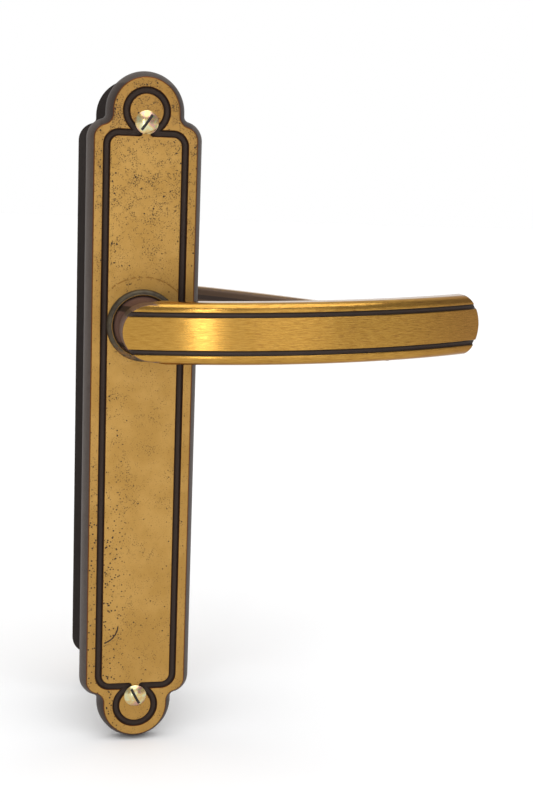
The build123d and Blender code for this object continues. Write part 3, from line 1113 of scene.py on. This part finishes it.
def make_plate_finish():
    material, shader, place = new_finish("aged_plate_brass")
    x, y, z = axes_of(place)
    ragged = (noise(place, 1.6, 4.0, 0.65) - 0.5) * 0.1
    ragged_height = off_the_door(y) + ragged
    patina = ragged_height.step(PLATE_TOP - 0.02, PLATE_TOP - 0.07)
    deep = ragged_height.step(PLATE_TOP - 0.16, PLATE_TOP - 0.5)
    mottle = noise(place, 0.8, 4.0, 0.6)
    fine = noise(place, 5.0, 3.0, 0.6)
    pits = plate_pits(place, x, y, z, ragged)
    surface = mix(pits, plate_brass(place, x, z, mottle, fine), PIT_DARK)
    surface = mix(patina, surface, mix(deep, EDGE_RED, plate_patina(place, x, y, z)))
    feed(shader, "Base Color", surface)
    feed(shader, "Metallic", 1 - deep.either(pits) * 0.5)
    feed(shader, "Roughness", 0.40 + fine * 0.14 + deep * 0.08)
    bump(shader, fine * 0.35 + mottle * 0.4 + (1 - pits) * 0.9, 0.05, 0.8)
    return material


plate_finish = make_plate_finish()
wear([front_plate, rear_plate], plate_finish)

# %% [markdown]
# ## Lever finish
# Hands have polished the grip's front, so it is cleaner and yellower than the plate. Fine scratches
# run along the bow. The grooves, the back, the neck and the round end over it kept their patina,
# with a ragged border where the top and bottom edges meet the back. The underside and the far end
# towards the tip are painted browner: painted shade.

# %% Make the lever finish
LEVER_GOLD = colour(0.47, 0.262, 0.056)
LEVER_WARM = colour(0.37, 0.192, 0.036)
NECK_BROWN = colour(0.12, 0.062, 0.045)
BACK_BROWN = colour(0.085, 0.047, 0.025)


def make_lever_finish():
    material, shader, ignored = new_finish("aged_lever_brass")
    tree = material.node_tree
    attribute = tree.nodes.new("ShaderNodeAttribute")
    attribute.attribute_name = "bow_place"
    place = Signal(tree, attribute.outputs["Vector"])
    x, depth, height = axes_of(place)
    brushed = noise(scaled(place, 0.28, 1.0, 3.2), 1.0, 3.0, 0.6)
    dashes = noise(scaled(place, 0.26, 1.0, 4.5), 1.0, 2.0, 0.5, 0.2)
    fine = noise(scaled(place, 1.0, 2.0, 9.0), 1.0, 2.0, 0.6)
    ragged = noise(place, 0.9, 4.0, 0.7) - 0.5
    in_groove = abs(abs(height) - GRIP_GROOVE_Z).step(GRIP_GROOVE_HALF + 0.25, GRIP_GROOVE_HALF - 0.1)
    in_groove = in_groove * (depth + ragged * 0.15).step(0.12, 0.4)
    from_end = x - END_X
    on_end = (from_end * from_end + height * height).root().step(END_RADIUS - 0.3, END_RADIUS - 0.1)
    on_end = on_end * x.step(END_X + 3.0, END_X + 0.5)
    behind = (depth + ragged * 1.6).step(6.4, 8.2).either(on_end)
    worn_in = x.step(14.0, 40.0)
    speckled = (depth + ragged * 2.0).step(1.6, 3.2)
    # The underside is browned: painted shade on the lower rounding, which faces down away from the light.
    underside_painted_shade = height.step(-8.4, -9.7)
    gold = mix(brushed.step(0.35, 0.7), LEVER_GOLD, LEVER_WARM)
    gold = mix(dashes.step(0.54, 0.66) * worn_in * 0.7, gold, BRASS_BROWN)
    gold = mix(speckled * noise(place, 1.5, 4.0, 0.7).step(0.42, 0.6) * 0.4, gold, BRASS_BROWN)
    gold = mix(underside_painted_shade * 0.6, gold, BRASS_BROWN)
    # Towards the tip the gold is browned: painted shade where the bow turns away from the light.
    gold = mix(x.step(70.0, 112.0) * 0.7, gold, BRASS_BROWN)
    dark = mix((depth + ragged * 2.0).step(9.0, 14.0).either(on_end), BACK_BROWN, NECK_BROWN)
    surface = mix(behind, gold, dark)
    surface = mix(in_groove, surface, GROOVE_DARK)
    covered = in_groove.either(behind)
    feed(shader, "Base Color", surface)
    feed(shader, "Metallic", 1 - covered * 0.6)
    feed(shader, "Roughness", 0.12 + brushed * 0.10 + covered * 0.26)
    grain = brushed * 0.5 * worn_in + dashes * 0.8 * worn_in + fine * 0.35
    bump(shader, grain, 0.05, 0.7)
    return material


lever_finish = make_lever_finish()
wear(levers, lever_finish)

# %% [markdown]
# ## Collar, screws and hidden steel
# The collar kept most of its patina and shows brass only on its bead. The screws are steel with a
# yellow zinc coat, whose thin film shines pink and green. The washers, clips and spindle inside are
# plain steel parts from the CAD model, whose shapes are right as they are.

# %% Make the collar finish
COLLAR_GREEN = colour(0.07, 0.055, 0.03)
COLLAR_DARK = colour(0.045, 0.032, 0.02)


def make_collar_finish():
    material, shader, place = new_finish("collar_patina")
    x, y, z = axes_of(place)
    height = off_the_door(y)
    radius = (x * x + z * z).root()
    ragged = (noise(place, 1.1, 4.0, 0.65) - 0.5) * 0.3
    bead = (radius + ragged).step(COLLAR_INNER + 0.4, COLLAR_INNER + 0.2)
    bead = bead * (height + ragged).step(COLLAR_TOP - 0.5, COLLAR_TOP - 0.1)
    residue = noise(place, 0.8, 4.0, 0.7).step(0.42, 0.6) * z.step(-5.0, -8.0) * x.step(1.0, -3.0)
    dark = mix(noise(place, 0.5, 3.0).step(0.35, 0.7), COLLAR_GREEN, COLLAR_DARK)
    dark = mix(residue * 0.7, dark, BRASS_BROWN)
    feed(shader, "Base Color", mix(bead, dark, BRASS))
    feed(shader, "Metallic", 0.55 + bead * 0.45)
    feed(shader, "Roughness", 0.38 + noise(place, 2.5, 3.0) * 0.14)
    bump(shader, noise(place, 3.0, 3.0, 0.6), 0.04, 0.6)
    return material


wear(collars, make_collar_finish())


# %% Make the screws' zinc
SLOT_PAINTED_SHADE = colour(0.02, 0.015, 0.012)


def make_zinc():
    material, shader, place = new_finish("yellow_zinc")
    x, y, z = axes_of(place)
    height = off_the_door(y)
    off_axis = abs(z - PLATE_MID_Z) - HALF_SPACING
    dome_height = height - (HEAD_TOP - DOME_RADIUS)
    from_centre = (x * x + off_axis * off_axis + dome_height * dome_height).root()
    in_slot = from_centre.step(DOME_RADIUS - 0.06, DOME_RADIUS - 0.18)
    in_slot = in_slot * height.step(PLATE_TOP + HEAD_EDGE, PLATE_TOP + HEAD_EDGE + 0.2)
    film = noise(place, 0.42, 2.0, 0.5, 0.6)
    warm = mix(film.step(0.35, 0.5), colour(0.62, 0.60, 0.36), colour(0.66, 0.48, 0.20))
    pink = mix(film.step(0.5, 0.6), warm, colour(0.58, 0.33, 0.27))
    green = mix(film.step(0.62, 0.72), pink, colour(0.32, 0.50, 0.16))
    # The slot's inside is painted near-black: painted shade in the recess.
    feed(shader, "Base Color", mix(in_slot, green, SLOT_PAINTED_SHADE))
    feed(shader, "Metallic", 1 - in_slot * 0.8)
    feed(shader, "Roughness", 0.20 + noise(place, 3.0, 3.0) * 0.10)
    bump(shader, noise(place, 4.0, 3.0), 0.02, 0.5)
    return material


wear(fasteners, make_zinc())


# %% Make the plain steels
def make_steel(name, light, dark, roughness):
    material, shader, place = new_finish(name)
    cloud = noise(place, 0.5, 3.0, 0.6)
    grain = noise(scaled(place, 1.0, 0.15, 1.0), 3.0, 3.0, 0.6)
    feed(shader, "Base Color", mix(cloud.step(0.35, 0.7), colour(*light), colour(*dark)))
    feed(shader, "Metallic", 1.0)
    feed(shader, "Roughness", roughness + grain * 0.15)
    bump(shader, grain, 0.02, 0.5)
    return material


drawn_steel = make_steel("drawn_steel", (0.42, 0.42, 0.43), (0.30, 0.29, 0.28), 0.32)
spring_steel = make_steel("blued_spring_steel", (0.10, 0.10, 0.12), (0.06, 0.055, 0.06), 0.28)
washer_steel = make_steel("zinc_washer_steel", (0.55, 0.55, 0.56), (0.42, 0.42, 0.42), 0.30)
wear([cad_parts["spindle"]], drawn_steel)
for side in ("front", "rear"):
    wear([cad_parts[f"{side}_washer"]], washer_steel)
    wear([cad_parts[f"{side}_spring_washer"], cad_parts[f"{side}_circlip"]], spring_steel)

# %% [markdown]
# ## Floor, light and camera
# Metal shows what it reflects. The set stands on a pale floor against a white backdrop, and the room
# on the camera's side is dimmer, so the brass keeps its colour. A tall strip light left of the
# camera gives the bright band on the bowed grip, and a wide sun overhead whitens the whole floor
# evenly and brightens the grip's top edge.

# %% Floor
FLOOR_SIZE = 12.0
bpy.ops.object.select_all(action="DESELECT")
bpy.ops.mesh.primitive_plane_add(size=FLOOR_SIZE, location=(0, 0, cad_low.z))
floor = bpy.context.object
floor.name = "floor"
floor_material = bpy.data.materials.new("pale_floor")
floor_material.use_nodes = True
feed(floor_material.node_tree.nodes["Principled BSDF"], "Base Color", colour(0.9, 0.9, 0.9))
feed(floor_material.node_tree.nodes["Principled BSDF"], "Roughness", 0.9)
wear([floor], floor_material)

# %% World
ROOM = colour(0.48, 0.48, 0.49)
BACKDROP = colour(1.0, 1.0, 1.0)
world = bpy.data.worlds.new("studio")
bpy.context.scene.world = world
world.use_nodes = True
world_tree = world.node_tree
direction = Signal(world_tree, world_tree.nodes.new("ShaderNodeTexCoord").outputs["Generated"])
behind_set = axes_of(direction)[1].step(-0.1, 0.3)
world_tree.links.new(
    mix(behind_set, ROOM, BACKDROP).socket, world_tree.nodes["Background"].inputs["Color"]
)
bpy.context.scene.view_settings.view_transform = "Standard"


# %% Lights
def add_light(name, azimuth, elevation, distance, width, height, power):
    """A soft rectangular light that faces the middle of the set, placed by angles as seen from it."""
    target = Vector((0.02, -0.02, -0.02))
    a, e = math.radians(azimuth), math.radians(elevation)
    out = Vector((math.sin(a) * math.cos(e), -math.cos(a) * math.cos(e), math.sin(e)))
    bpy.ops.object.light_add(type="AREA", location=target + out * distance)
    light = bpy.context.object
    light.name = name
    light.rotation_euler = (-out).to_track_quat("-Z", "Y").to_euler()
    light.data.shape = "RECTANGLE"
    light.data.size, light.data.size_y = width, height
    light.data.energy = power
    return light


add_light("strip_left", -20, -4, 0.8, 0.05, 0.9, 1.3)
add_light("front_fill", 8, 5, 1.1, 0.5, 0.7, 0.8)

# %% The sun overhead
SUN_LEAN = 25
SUN_SPREAD = 60
bpy.ops.object.light_add(type="SUN")
sun = bpy.context.object
sun.name = "overhead"
sun.rotation_euler.x = math.radians(SUN_LEAN)
sun.data.energy = 1.7
sun.data.angle = math.radians(SUN_SPREAD)

# %% Camera
CAMERA_PLACE = (-0.0483, -0.4435, 0.0482)
CAMERA_AZIMUTH, CAMERA_TILT, CAMERA_ROLL = -11.78, 80.65, 2.08
bpy.ops.object.camera_add(location=CAMERA_PLACE)
camera = bpy.context.object
turn = Matrix.Rotation(math.radians(CAMERA_AZIMUTH), 3, "Z")
turn = turn @ Matrix.Rotation(math.radians(CAMERA_TILT), 3, "X")
turn = turn @ Matrix.Rotation(math.radians(CAMERA_ROLL), 3, "Z")
camera.rotation_euler = turn.to_euler()
camera.data.lens = 59.53
camera.data.sensor_width = 36.0
bpy.context.scene.camera = camera
